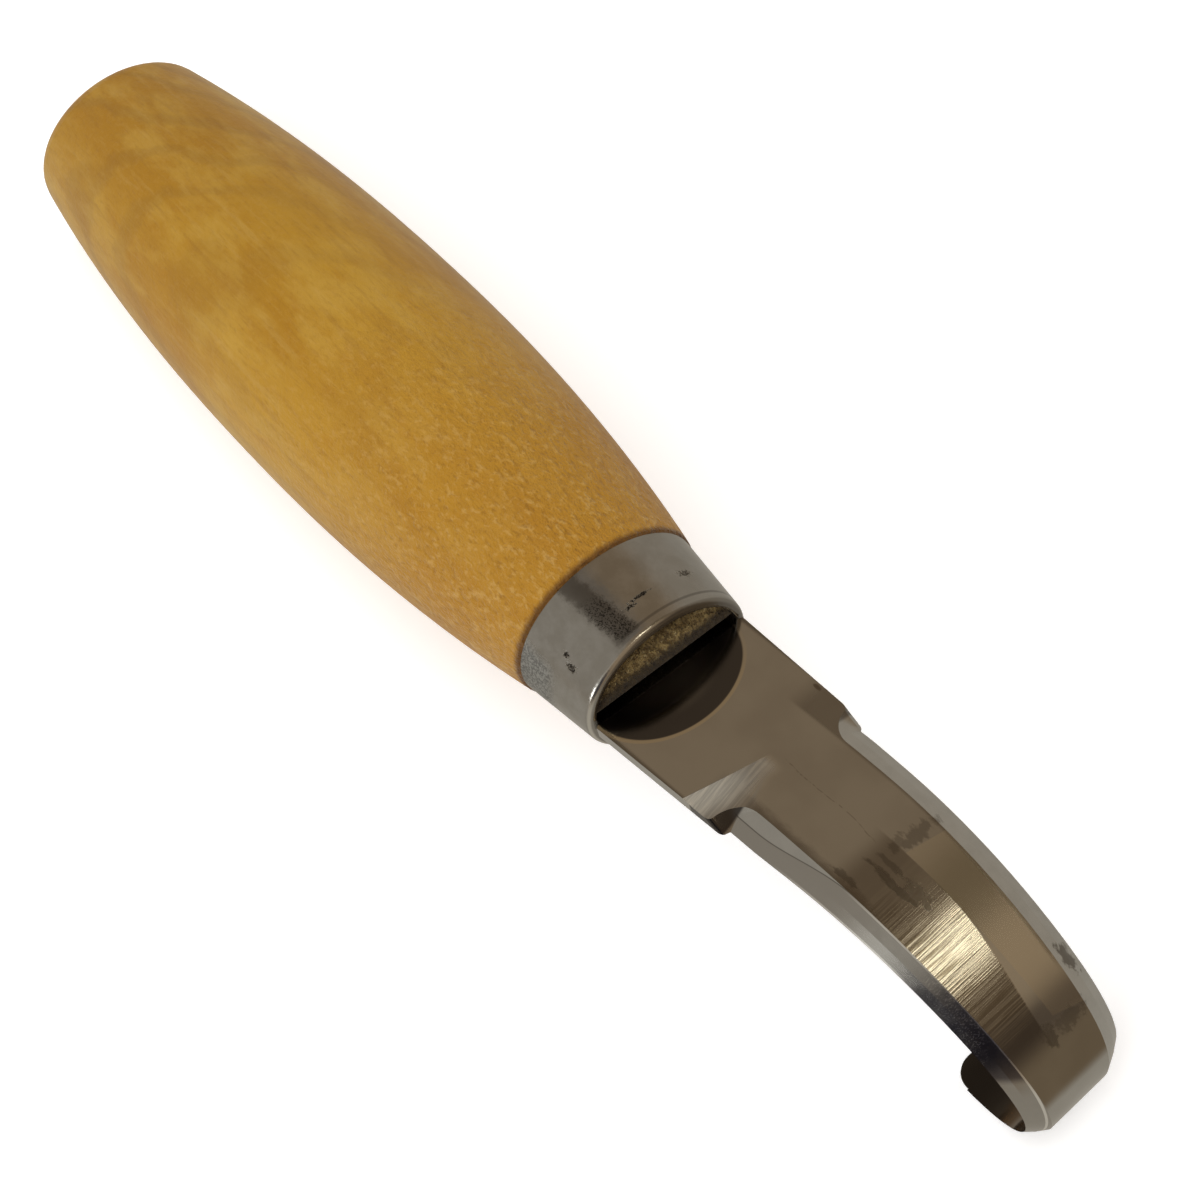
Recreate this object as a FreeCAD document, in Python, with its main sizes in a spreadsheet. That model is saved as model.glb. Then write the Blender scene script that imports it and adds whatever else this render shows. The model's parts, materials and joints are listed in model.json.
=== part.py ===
import FreeCAD, Part
import math
import os
import Sketcher

# Hook whittling knife: a barrel-shaped wooden handle, a steel ferrule, a double-edged
# hook blade with a hidden tang, and the cured resin that holds the tang.
#
# Every piece is drawn in the knife's own axes: +X runs along the handle towards the
# blade, +Z is the convex side of the blade, and the origin is the middle of the ferrule's
# front. The blade's axes are the same, swung sideways by blade_swing. The finished pieces
# are then stood on the XY plane as the knife lies: on the hook and the butt's lower edge.

Vector = FreeCAD.Vector
Placement = FreeCAD.Placement
Rotation = FreeCAD.Rotation

SIZES = {
    # Handle, from the ferrule back to the butt
    "handle_length": 100.2,
    "belly_width": 31.1,
    "end_width": 22.4,
    "belly_at": 0.48,
    "barrel_power": 2.2,
    "oval_ratio": 0.835,
    "butt_round": 2.9,
    "neck_chamfer": 0.3,
    # Ferrule
    "ferrule_length": 10.3,
    "ferrule_back": 22.1,
    "ferrule_front": 19.9,
    "ferrule_wall": 0.75,
    "lip_wall": 0.95,
    "lip_depth": 1.2,
    "rim_round": 0.8,
    "rim_inner_round": 0.12,
    # The tenon's broken front inside the ferrule's lip
    "nose_gap": 0.05,
    "nose_back": 0.25,
    "nose_slant": 45.0,
    "nose_land": 0.1,
    # Blade
    "thickness": 1.5,
    "blade_swing": 4.85,
    "root_width": 18.9,
    "root_front_left": 9.1,
    "root_front_right": 8.65,
    "throat_width": 17.6,
    "throat_back_left": -1.7,
    "throat_back_right": -0.4,
    "throat_front_left": -0.6,
    "throat_front_right": 0.75,
    "plunge_left": 19.1,
    "plunge_right": 19.6,
    "plunge_slope": 2.0,
    "bevel_start": 14.0,
    "bevel_join": 21.0,
    "edge_root": 8.4,
    "edge_mid": 7.15,
    "edge_tip": 5.15,
    "flat_root": 5.6,
    "flat_mid": 5.0,
    "flat_tip": 2.2,
    "shift_root": 0.33,
    "shift_mid": -0.2,
    "shift_tip": -0.4,
    "micro_share": 0.45,
    "micro_rise": 0.1,
    "taper_start": 16.0,
    "throat_step": 0.2,
    "root_step": 0.3,
    # Hook: its straight start, then tangent arcs, each with a radius and a turn in degrees
    "straight": 25.1,
    "first_radius": 37.0,
    "first_turn": 40.0,
    "second_radius": 16.0,
    "second_turn": 24.0,
    "third_radius": 7.9,
    "third_turn": 95.0,
    "last_radius": 13.5,
    "last_turn": 33.0,
    "tip_round": 2.4,
    "scoop_at": 15.0,
    "scoop_radius": 15.2,
    "scoop_depth": 0.3,
    "scoop_reach": 8.1,
    "corner_ease": 0.5,
    # Tang, slot and bore
    "shoulder_width": 16.4,
    "shoulder_back": 5.0,
    "tang_width": 7.4,
    "tang_length": 60.0,
    "slot_width": 17.0,
    "slot_height": 3.5,
    "slot_back": 6.0,
    "bore_diameter": 9.0,
    "bore_back": 62.0,
    "resin_front": 3.6,
    # The knife as it lies
    "rest_angle": 6.22,
}

# The hook's arcs in order, as their names in SIZES begin
HOOK_ARCS = ("first", "second", "third", "last")

# How many ovals shape each end of the barrel, and how many sections shape the hook
BARREL_STEPS = 4
STATIONS = 15

# Two places closer than this, in millimetres, count as the same
NEAR = 0.01

# How far a cutting shape runs past what it cuts, in millimetres
CLEAR = 1.0

# Turns a shape drawn in XY so that it stands across the X axis, its x along Y
ACROSS = Rotation(Vector(1, 1, 1), 120)


def size(doc, name):
    return float(doc.Sizes.get(name))


def make_sheet(doc):
    sheet = doc.addObject("Spreadsheet::Sheet", "Sizes")
    for row, (alias, value) in enumerate(SIZES.items(), start=1):
        sheet.set(f"A{row}", alias)
        sheet.set(f"B{row}", str(value))
        sheet.setAlias(f"B{row}", alias)
    doc.recompute()


def bound(doc, kind, name, **bindings):
    """A Part object whose properties follow the sheet; Base_x stands for .Placement.Base.x."""
    thing = doc.addObject(kind, name)
    for key, expression in bindings.items():
        path = ".Placement." + key.replace("_", ".") if key.startswith("Base_") else key
        thing.setExpression(path, expression)
    return thing


def oval(doc, name, at, half_width, half_height):
    """An ellipse across the handle's axis, wide along Y."""
    ring = doc.addObject("Part::Ellipse", name)
    ring.Placement = Placement(Vector(), ACROSS)
    ring.setExpression("MajorRadius", half_width)
    ring.setExpression("MinorRadius", half_height)
    ring.setExpression(".Placement.Base.x", at)
    return ring


def loft(doc, name, rings, ruled=False):
    solid = doc.addObject("Part::Loft", name)
    solid.Sections = rings
    solid.Solid = True
    solid.Ruled = ruled
    return solid


def cut(doc, name, base, tool):
    result = doc.addObject("Part::Cut", name)
    result.Base = base
    result.Tool = tool
    return result


def fuse(doc, name, *pieces):
    result = doc.addObject("Part::MultiFuse", name)
    result.Shapes = list(pieces)
    return result


def rim_edge(shape, at_x, smallest=False):
    """Index, from 1, of the closed edge in the plane x = at_x: the longest, or the shortest."""
    found = [
        (edge.Length, index)
        for index, edge in enumerate(shape.Edges, start=1)
        if edge.isClosed() and max(abs(edge.BoundBox.XMin - at_x), edge.BoundBox.XLength) < NEAR
    ]
    return min(found)[1] if smallest else max(found)[1]


def dressed(doc, kind, name, base, edges):
    """A Part::Fillet or Part::Chamfer of base on pairs of an edge's index and a size's name."""
    result = doc.addObject(kind, name)
    result.Base = base
    result.Edges = [(index, size(doc, amount), size(doc, amount)) for index, amount in edges]
    doc.recompute()
    return result


def barrel_rings(doc):
    """Ovals of the barrel: its width falls from the belly to both ends as a power of distance."""
    rings = []
    for step in range(-BARREL_STEPS, BARREL_STEPS + 1):
        share = abs(step) / BARREL_STEPS
        width = (
            "(Sizes.belly_width - (Sizes.belly_width - Sizes.end_width)"
            f" * pow({share}; Sizes.barrel_power)) / 2"
        )
        span = "Sizes.belly_at" if step < 0 else "(1 - Sizes.belly_at)"
        sign = "-" if step < 0 else "+"
        at = (
            "-Sizes.ferrule_length - Sizes.handle_length"
            f" * (Sizes.belly_at {sign} {span} * {share})"
        )
        name = f"barrel_ring_{step + BARREL_STEPS}"
        rings.append(oval(doc, name, at, width, f"Sizes.oval_ratio * {width}"))
    return rings


def ferrule_oval(doc, name, back_share, wall):
    """An oval of the tapered ferrule, back_share of the way to its back and wall inside it."""
    outer = (
        "(Sizes.ferrule_front + (Sizes.ferrule_back - Sizes.ferrule_front)"
        f" * ({back_share})) / 2"
    )
    return oval(
        doc,
        name,
        f"-Sizes.ferrule_length * ({back_share})",
        f"{outer} - {wall}",
        f"Sizes.oval_ratio * {outer} - {wall}",
    )


def slot_and_bore(doc, name, slot_front):
    """The saw slot for the blade's shoulders and the bore for its tang, in the blade's axes."""
    slot = bound(
        doc,
        "Part::Box",
        name + "_slot",
        Length=f"Sizes.slot_back - {slot_front}",
        Width="Sizes.slot_width",
        Height="Sizes.slot_height",
        Base_x="-Sizes.slot_back",
        Base_y="-Sizes.slot_width / 2",
        Base_z="-Sizes.slot_height / 2",
    )
    bore = bound(
        doc,
        "Part::Cylinder",
        name + "_bore",
        Radius="Sizes.bore_diameter / 2",
        Height=f"Sizes.bore_back - Sizes.slot_back + {CLEAR}",
    )
    bore.Placement = Placement(Vector(), ACROSS)
    bore.setExpression(".Placement.Base.x", "-Sizes.bore_back")
    return fuse(doc, name, slot, bore)


def tenon_nose(doc):
    """The tenon's front inside the lip: above and below the blade, clear of its throat."""
    back = "Sizes.lip_depth / Sizes.ferrule_length"
    front = "Sizes.nose_back / Sizes.ferrule_length"
    wall = "(Sizes.lip_wall + Sizes.nose_gap)"
    rings = [ferrule_oval(doc, "nose_back", back, wall), ferrule_oval(doc, "nose_front", front, wall)]
    mouth = bound(
        doc,
        "Part::Box",
        "nose_mouth",
        Length="Sizes.lip_depth",
        Width="Sizes.ferrule_back",
        Height="Sizes.slot_height",
        Base_x="-Sizes.lip_depth",
        Base_y="-Sizes.ferrule_back / 2",
        Base_z="-Sizes.slot_height / 2",
    )
    return cut(doc, "nose", loft(doc, "nose_full", rings, ruled=True), mouth)


def nose_slant(doc):
    """What is broken away above the blade: all beyond a plane that leans back from the slot's lip."""
    reach = "Sizes.ferrule_front / 2"
    slant = bound(
        doc,
        "Part::Box",
        "nose_break",
        Length=f"2 * {reach}",
        Width="Sizes.ferrule_back",
        Height=reach,
        Base_x=f"-Sizes.nose_back - {reach} * cos(Sizes.nose_slant)",
        Base_y="-Sizes.ferrule_back / 2",
        Base_z=f"Sizes.slot_height / 2 + Sizes.nose_land + {reach} * sin(Sizes.nose_slant)",
    )
    slant.Placement = Placement(Vector(), Rotation(Vector(0, 1, 0), size(doc, "nose_slant")))
    return slant


def make_handle(doc):
    barrel = loft(doc, "barrel", barrel_rings(doc))
    doc.recompute()
    neck_x = -size(doc, "ferrule_length")
    butt_x = neck_x - size(doc, "handle_length")
    butt_rim = rim_edge(barrel.Shape, butt_x)
    rounded = dressed(doc, "Part::Fillet", "butt_rounding", barrel, [(butt_rim, "butt_round")])
    neck_rim = rim_edge(rounded.Shape, neck_x)
    eased = dressed(doc, "Part::Chamfer", "neck_easing", rounded, [(neck_rim, "neck_chamfer")])
    tenon_end = "Sizes.lip_depth / Sizes.ferrule_length"
    tenon = loft(
        doc,
        "tenon",
        [
            ferrule_oval(doc, "tenon_back", "1", "Sizes.ferrule_wall"),
            ferrule_oval(doc, "tenon_front", tenon_end, "Sizes.ferrule_wall"),
        ],
        ruled=True,
    )
    wood = cut(doc, "wood", fuse(doc, "solid_wood", eased, tenon, tenon_nose(doc)), nose_slant(doc))
    hollow = slot_and_bore(doc, "tang_hole", "0")
    hollow.setExpression(".Placement.Rotation.Angle", "Sizes.blade_swing")
    return cut(doc, "handle", wood, hollow)


def make_ferrule(doc):
    outer = loft(
        doc,
        "ferrule_outer",
        [
            ferrule_oval(doc, "ferrule_outer_back", "1", "0"),
            ferrule_oval(doc, "ferrule_outer_front", "0", "0"),
        ],
        ruled=True,
    )
    lip_share = "Sizes.lip_depth / Sizes.ferrule_length"
    inner = loft(
        doc,
        "ferrule_inner",
        [
            ferrule_oval(doc, "ferrule_inner_back", "1.1", "Sizes.ferrule_wall"),
            ferrule_oval(doc, "ferrule_inner_front", lip_share, "Sizes.ferrule_wall"),
        ],
        ruled=True,
    )
    opening = loft(
        doc,
        "ferrule_opening",
        [
            ferrule_oval(doc, "opening_back", lip_share + " + 0.05", "Sizes.lip_wall"),
            ferrule_oval(doc, "opening_front", "-0.1", "Sizes.lip_wall"),
        ],
        ruled=True,
    )
    shell = cut(doc, "ferrule_shell", outer, fuse(doc, "ferrule_hollow", inner, opening))
    doc.recompute()
    outer_rim = rim_edge(shell.Shape, 0.0)
    inner_rim = rim_edge(shell.Shape, 0.0, smallest=True)
    rims = [(outer_rim, "rim_round"), (inner_rim, "rim_inner_round")]
    return dressed(doc, "Part::Fillet", "ferrule", shell, rims)


def origin_plane(body, role):
    return next(f for f in body.Origin.OriginFeatures if f.Role == role)


def attached_sketch(body, name, role, offset):
    sketch = body.newObject("Sketcher::SketchObject", name)
    sketch.AttachmentSupport = [(origin_plane(body, role), "")]
    sketch.MapMode = "FlatFace"
    sketch.AttachmentOffset = offset
    return sketch


def draw_outline(doc, sketch, corners):
    """A closed outline of straight lines through corners, each an (x, y) pair of expressions."""
    first = sketch.GeometryCount
    spots = [tuple(float(doc.Sizes.evalExpression(c)) for c in corner) for corner in corners]
    for index, (x, y) in enumerate(spots):
        next_x, next_y = spots[(index + 1) % len(spots)]
        sketch.addGeometry(Part.LineSegment(Vector(x, y, 0), Vector(next_x, next_y, 0)))
    for index, (x, y) in enumerate(spots):
        line = first + index
        following = first + (index + 1) % len(spots)
        sketch.addConstraint(Sketcher.Constraint("Coincident", line, 2, following, 1))
        for axis, value, expression in zip("XY", (x, y), corners[index]):
            number = sketch.addConstraint(Sketcher.Constraint("Distance" + axis, -1, 1, line, 1, value))
            sketch.setExpression(f"Constraints[{number}]", expression)


def draw_circle(doc, sketch, centre, radius):
    x, y, r = (float(doc.Sizes.evalExpression(e)) for e in (*centre, radius))
    circle = sketch.addGeometry(Part.Circle(Vector(x, y, 0), Vector(0, 0, 1), r))
    for axis, value, expression in zip("XY", (x, y), centre):
        number = sketch.addConstraint(Sketcher.Constraint("Distance" + axis, -1, 1, circle, 3, value))
        sketch.setExpression(f"Constraints[{number}]", expression)
    number = sketch.addConstraint(Sketcher.Constraint("Radius", circle, r))
    sketch.setExpression(f"Constraints[{number}]", radius)


def hook_arcs(doc):
    """The hook's arcs in order, each as (radius, turn in radians)."""
    return [(size(doc, arc + "_radius"), math.radians(size(doc, arc + "_turn"))) for arc in HOOK_ARCS]


def blade_run(doc):
    """Length of the blade's centreline, from the ferrule's front to the hook's tip."""
    return size(doc, "straight") + sum(radius * turn for radius, turn in hook_arcs(doc))


def path_point(doc, run):
    """Where the blade's centreline is, run millimetres from the ferrule: (x, z, turn down)."""
    straight = size(doc, "straight")
    if run <= straight:
        return run, 0.0, 0.0
    x, z, turned, left = straight, 0.0, 0.0, run - straight
    for radius, turn in hook_arcs(doc):
        part = min(left, radius * turn)
        swept = part / radius
        x += radius * (math.sin(turned + swept) - math.sin(turned))
        z -= radius * (math.cos(turned) - math.cos(turned + swept))
        turned += swept
        left -= part
    return x, z, math.degrees(turned)


def along(doc, stem, run):
    """The sheet's root, mid and tip values of stem, blended smoothly at run along the blade."""
    start = size(doc, "taper_start")
    share = (run - start) / (blade_run(doc) - start)
    weights = {
        "root": 2 * (share - 0.5) * (share - 1),
        "mid": 4 * share * (1 - share),
        "tip": 2 * share * (share - 0.5),
    }
    terms = [f"Sizes.{stem}_{place} * {weight:.5f}" for place, weight in weights.items()]
    return "(" + " + ".join(terms) + ")"


def section_corners(doc, run):
    """Blade section: wide concave face below, narrower convex flat above, two-step bevels."""
    edge = along(doc, "edge", run)
    flat = along(doc, "flat", run)
    shift = along(doc, "shift", run)
    low = "-Sizes.thickness / 2"
    high = "Sizes.thickness / 2"
    middle = "(Sizes.thickness * (Sizes.micro_share - 0.5) + Sizes.micro_rise)"
    left_flat = f"({shift} - {flat})"
    right_flat = f"({shift} + {flat})"
    left_step = f"(-{edge} + ({left_flat} + {edge}) * Sizes.micro_share)"
    right_step = f"({edge} + ({right_flat} - {edge}) * Sizes.micro_share)"
    return [
        (f"-{edge}", low),
        (edge, low),
        (right_step, middle),
        (right_flat, high),
        (left_flat, high),
        (left_step, middle),
    ]


def section_sketch(doc, body, name, run):
    x, z, turn = path_point(doc, run)
    offset = Placement(Vector(0, z, x), Rotation(Vector(1, 0, 0), turn))
    sketch = attached_sketch(body, name, "YZ_Plane", offset)
    draw_outline(doc, sketch, section_corners(doc, run))
    return sketch


def pad(doc, body, name, sketch, length, both_ways=False):
    feature = body.newObject("PartDesign::Pad", name)
    feature.Profile = sketch
    feature.setExpression("Length", length)
    if both_ways:
        feature.SideType = "Symmetric"
    doc.recompute()
    return feature


def blade_plate(doc, body):
    """Tang, shoulders, throat in the ferrule's mouth, and the flat root of the blade."""
    sketch = attached_sketch(body, "plate_outline", "XY_Plane", Placement())
    tang = "Sizes.tang_width / 2"
    tang_tip = "Sizes.tang_width / 3"
    shoulder = "Sizes.shoulder_width / 2"
    throat = "Sizes.throat_width / 2"
    root = "Sizes.root_width / 2"
    sides = {}
    for side in ("left", "right"):
        sides[side] = [
            ("-Sizes.tang_length", tang_tip),
            ("-Sizes.tang_length + Sizes.tang_width", tang),
            ("-Sizes.shoulder_back", tang),
            ("-Sizes.shoulder_back", shoulder),
            (f"Sizes.throat_back_{side}", shoulder),
            (f"Sizes.throat_back_{side} + Sizes.throat_step", throat),
            (f"Sizes.throat_front_{side}", throat),
            (f"Sizes.throat_front_{side} + Sizes.root_step", root),
            (f"Sizes.plunge_{side}", f"Sizes.root_front_{side}"),
        ]
    corners = [(x, f"-{y}") for x, y in sides["left"]] + sides["right"][::-1]
    draw_outline(doc, sketch, corners)
    doc.recompute()
    pad(doc, body, "plate", sketch, "Sizes.thickness", both_ways=True)


def plunge_cuts(doc, body):
    """The cones where the grinding of each bevel runs out against the full-width root."""
    lift = Placement(Vector(0, 0, size(doc, "thickness") / 2), Rotation())
    flat = along(doc, "flat", size(doc, "bevel_join"))
    shift = along(doc, "shift", size(doc, "bevel_join"))
    for side, sign, towards in (("left", "-", "+"), ("right", "", "-")):
        sketch = attached_sketch(body, f"plunge_{side}_circle", "XY_Plane", lift)
        reach = f"Sizes.root_front_{side} - {flat} {towards} {shift}"
        draw_circle(doc, sketch, (f"Sizes.plunge_{side}", f"{sign}Sizes.root_front_{side}"), reach)
        doc.recompute()
        feature = body.newObject("PartDesign::Pocket", f"plunge_{side}_cut")
        feature.Profile = sketch
        feature.setExpression("Length", "Sizes.thickness")
        feature.setExpression("TaperAngle", "-atan(Sizes.plunge_slope / Sizes.thickness)")
        doc.recompute()


def bevelled_run(doc, body):
    """The straight bevelled length between the plunges and the start of the hook."""
    start = Placement(Vector(0, 0, size(doc, "bevel_start")), Rotation())
    sketch = attached_sketch(body, "bevel_section", "YZ_Plane", start)
    draw_outline(doc, sketch, section_corners(doc, size(doc, "bevel_join")))
    doc.recompute()
    pad(doc, body, "bevelled_root", sketch, "Sizes.bevel_join - Sizes.bevel_start")


def hook_loft(doc, body):
    """The curled part: sections square to the centreline, from the straight root to the tip."""
    start = size(doc, "bevel_join")
    spacing = (blade_run(doc) - start) / (STATIONS - 1)
    sketches = [
        section_sketch(doc, body, f"hook_section_{index}", start + spacing * index)
        for index in range(STATIONS)
    ]
    doc.recompute()
    feature = body.newObject("PartDesign::AdditiveLoft", "hook")
    feature.Profile = sketches[0]
    feature.Sections = sketches[1:]
    feature.Ruled = False
    doc.recompute()


def grinding_scoop(doc, body):
    """A shallow wheel mark across the convex side, deep at the left edge and nothing past its reach."""
    depth = size(doc, "scoop_depth")
    lean = math.degrees(math.atan(depth / size(doc, "scoop_reach")))
    bottom = size(doc, "thickness") / 2 - depth
    foot_z = bottom + size(doc, "scoop_radius")
    foot = Vector(size(doc, "scoop_at"), -size(doc, "root_front_left"), foot_z)
    run_out = 3 * CLEAR
    feature = body.newObject("PartDesign::SubtractiveCylinder", "grinding_scoop")
    feature.AttachmentSupport = [(origin_plane(body, "XY_Plane"), "")]
    feature.MapMode = "FlatFace"
    # The cylinder's own axis is turned from +Z to +Y and leans up towards the blade's middle
    turned = Placement(foot, Rotation(Vector(1, 0, 0), lean - 90))
    feature.AttachmentOffset = turned * Placement(Vector(0, 0, -run_out), Rotation())
    feature.setExpression("Radius", "Sizes.scoop_radius")
    feature.setExpression("Height", f"Sizes.scoop_reach + {2 * run_out}")
    doc.recompute()


def ease_plunge_corners(doc, body):
    """Rounds the two corners where the root's sides meet the plunges."""
    base = body.Tip
    # They run through the whole thickness, at the front end of the root's sides
    least_height = 0.9 * size(doc, "thickness")
    least_y = size(doc, "root_front_right") - CLEAR / 3
    least_x = size(doc, "root_front_right")
    corners = []
    for index, edge in enumerate(base.Shape.Edges, start=1):
        box = edge.BoundBox
        through = box.ZLength > least_height and box.YLength < CLEAR / 3
        if through and abs(box.Center.y) > least_y and box.Center.x > least_x:
            corners.append(f"Edge{index}")
    feature = body.newObject("PartDesign::Fillet", "corner_easing")
    feature.Base = (base, corners)
    feature.setExpression("Radius", "Sizes.corner_ease")
    doc.recompute()


def tip_corners(doc, body):
    """Rounds the hook's square tip: a pocket outside two quarter circles."""
    x, z, turn = path_point(doc, blade_run(doc))
    # The sketch lies on the tip's own flat: its x runs on past the tip, its y is the blade's Y
    lie = Placement(Vector(x, 0, z), Rotation(Vector(0, 1, 0), turn))
    sketch = attached_sketch(body, "tip_outline", "XY_Plane", lie)
    radius = size(doc, "tip_round")
    reach = size(doc, "edge_tip")
    quarter = math.pi / 2
    for sign, begin in ((1, 0), (-1, -quarter)):
        inner = sign * (reach - radius)
        outer = sign * (reach + CLEAR)
        circle = Part.Circle(Vector(-radius, inner, 0), Vector(0, 0, 1), radius)
        first = sketch.addGeometry(Part.ArcOfCircle(circle, begin, begin + quarter))
        around = [(-radius, sign * reach), (-radius, outer), (CLEAR, outer), (CLEAR, inner), (0, inner)]
        corners = [Vector(along_x, across_y, 0) for along_x, across_y in around]
        for start, end in zip(corners, corners[1:]):
            sketch.addGeometry(Part.LineSegment(start, end))
        number = sketch.addConstraint(Sketcher.Constraint("Radius", first, radius))
        sketch.setExpression(f"Constraints[{number}]", "Sizes.tip_round")
    doc.recompute()
    feature = body.newObject("PartDesign::Pocket", "tip_rounding")
    feature.Profile = sketch
    feature.setExpression("Length", "4 * Sizes.thickness")
    feature.SideType = "Symmetric"
    doc.recompute()


def make_blade(doc):
    body = doc.addObject("PartDesign::Body", "blade")
    doc.recompute()
    blade_plate(doc, body)
    plunge_cuts(doc, body)
    ease_plunge_corners(doc, body)
    bevelled_run(doc, body)
    hook_loft(doc, body)
    tip_corners(doc, body)
    grinding_scoop(doc, body)
    return body


def make_resin(doc):
    """The cured resin: the slot and bore full, less the blade's shoulders and tang."""
    hollow = slot_and_bore(doc, "resin_fill", "Sizes.resin_front")
    shoulders = bound(
        doc,
        "Part::Box",
        "resin_shoulder_gap",
        Length="Sizes.shoulder_back",
        Width="Sizes.shoulder_width",
        Height="Sizes.thickness",
        Base_x="-Sizes.shoulder_back",
        Base_y="-Sizes.shoulder_width / 2",
        Base_z="-Sizes.thickness / 2",
    )
    tang = bound(
        doc,
        "Part::Box",
        "resin_tang_gap",
        Length="Sizes.tang_length",
        Width="Sizes.tang_width",
        Height="Sizes.thickness",
        Base_x="-Sizes.tang_length",
        Base_y="-Sizes.tang_width / 2",
        Base_z="-Sizes.thickness / 2",
    )
    return cut(doc, "tang_adhesive", hollow, fuse(doc, "resin_gap", shoulders, tang))


def stand(doc, in_handle_axes, in_blade_axes):
    """Tips the knife to rest on hook and butt, and centres it over the origin on the XY plane."""
    tilt = Placement(Vector(), Rotation(Vector(0, 1, 0), -size(doc, "rest_angle")))
    swing = Placement(Vector(), Rotation(Vector(0, 0, 1), size(doc, "blade_swing")))
    turned = [(part, tilt) for part in in_handle_axes]
    turned += [(part, tilt * swing) for part in in_blade_axes]
    for part, placement in turned:
        part.Placement = placement
    doc.recompute()
    whole = FreeCAD.BoundBox()
    for part, _ in turned:
        whole.add(part.Shape.optimalBoundingBox())
    shift = Vector(-whole.Center.x, -whole.Center.y, -whole.ZMin)
    for part, placement in turned:
        part.Placement = Placement(shift, Rotation()) * placement
    doc.recompute()


def check(doc, parts):
    for thing in doc.Objects:
        if "Invalid" in thing.State or "Error" in thing.State:
            raise RuntimeError(f"{thing.Name} failed: {thing.State}")
    for part in parts:
        shape = part.Shape
        if shape.isNull() or not shape.isValid() or len(shape.Solids) != 1:
            raise RuntimeError(f"{part.Label} is not one valid solid")


def main():
    doc = FreeCAD.newDocument("hook_knife")
    make_sheet(doc)
    handle = make_handle(doc)
    ferrule = make_ferrule(doc)
    blade = make_blade(doc)
    resin = make_resin(doc)
    doc.recompute()
    stand(doc, [handle, ferrule], [blade, resin])
    parts = [handle, ferrule, blade, resin]
    check(doc, parts)
    os.makedirs("parts", exist_ok=True)
    for part in parts:
        part.Shape.exportStep(f"parts/{part.Label}.step")


main()
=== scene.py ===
import json
import math

import bpy
from mathutils import Matrix, Vector

# Looks for the hook whittling knife. The shapes are the CAD nodes; this script gives them
# procedural materials and adds the floor, the lights and the camera. Everything is in
# metres, and the materials count millimetres along the handle's or the blade's own axes.

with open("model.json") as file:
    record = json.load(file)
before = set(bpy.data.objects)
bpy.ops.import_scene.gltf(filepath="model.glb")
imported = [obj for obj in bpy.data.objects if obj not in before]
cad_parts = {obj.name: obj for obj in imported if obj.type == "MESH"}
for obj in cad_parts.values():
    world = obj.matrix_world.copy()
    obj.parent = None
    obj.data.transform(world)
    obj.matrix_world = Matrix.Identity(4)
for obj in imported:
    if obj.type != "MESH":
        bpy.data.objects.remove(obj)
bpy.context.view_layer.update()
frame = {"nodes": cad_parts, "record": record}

CAMERA_AT = Vector((0.15401, -0.06895, 0.27434))
CAMERA_LOOK = Vector((-0.46693, 0.23300, -0.85301))
CAMERA_UP = Vector((-0.64224, 0.57380, 0.50821))
CAMERA_LENS = 87.03

BUTT_TO_FERRULE_FRONT = 0.1105
ROOT_MOUNT_IN_BLADE = Vector((0.006, 0, 0.00075))
MILLIMETRE = 0.001
SENSOR_WIDTH = 36.0
FLOOR_HALF = 3.0
FLOOR_GLOW = 0.36
LAMP_AIM = Vector((0.02, 0, 0.01))

# Stains that several places share; the brown one also serves as a nick's painted shadow
BROWN_OIL_AND_SHADE = (0.16, 0.125, 0.09)
PIT_BLACK = (0.020, 0.016, 0.013)


class Graph:
    """Adds nodes to a node tree; sockets and plain numbers both serve as inputs."""

    def __init__(self, tree):
        self.tree = tree

    def node(self, kind, **settings):
        made = self.tree.nodes.new(kind)
        for key, value in settings.items():
            setattr(made, key, value)
        return made

    def feed(self, socket, value):
        if isinstance(value, bpy.types.NodeSocket):
            self.tree.links.new(value, socket)
        else:
            socket.default_value = value

    def math(self, operation, *values):
        made = self.node("ShaderNodeMath", operation=operation)
        for socket, value in zip(made.inputs, values):
            self.feed(socket, value)
        return made.outputs[0]

    def times(self, *values):
        result = values[0]
        for value in values[1:]:
            result = self.math("MULTIPLY", result, value)
        return result

    def either(self, first, second):
        return self.math("MAXIMUM", first, second)

    def ramp(self, value, low, high, out_low=0.0, out_high=1.0):
        made = self.node("ShaderNodeMapRange", interpolation_type="SMOOTHSTEP")
        for socket, number in zip(made.inputs, (value, low, high, out_low, out_high)):
            self.feed(socket, number)
        return made.outputs[0]

    def band(self, value, low, high, soft):
        """1 between low and high, with soft edges as wide as soft outside them."""
        rise = self.ramp(value, low - soft, low)
        fall = self.ramp(value, high, high + soft, 1.0, 0.0)
        return self.times(rise, fall)

    def mix(self, share, first, second):
        """A colour between first and second."""
        made = self.node("ShaderNodeMix", data_type="RGBA")
        colours = [s for s in made.inputs if s.type == "RGBA"]
        self.feed(made.inputs[0], share)
        for socket, value in zip(colours, (first, second)):
            self.feed(socket, value if isinstance(value, bpy.types.NodeSocket) else (*value, 1))
        return next(s for s in made.outputs if s.type == "RGBA")

    def blend(self, share, first, second):
        """A number between first and second."""
        made = self.node("ShaderNodeMix", data_type="FLOAT")
        numbers = [s for s in made.inputs if s.type == "VALUE"]
        for socket, value in zip(numbers, (share, first, second)):
            self.feed(socket, value)
        return next(s for s in made.outputs if s.type == "VALUE")

    def dot(self, vector, direction):
        made = self.node("ShaderNodeVectorMath", operation="DOT_PRODUCT")
        self.feed(made.inputs[0], vector)
        made.inputs[1].default_value = direction
        return made.outputs["Value"]


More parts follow.
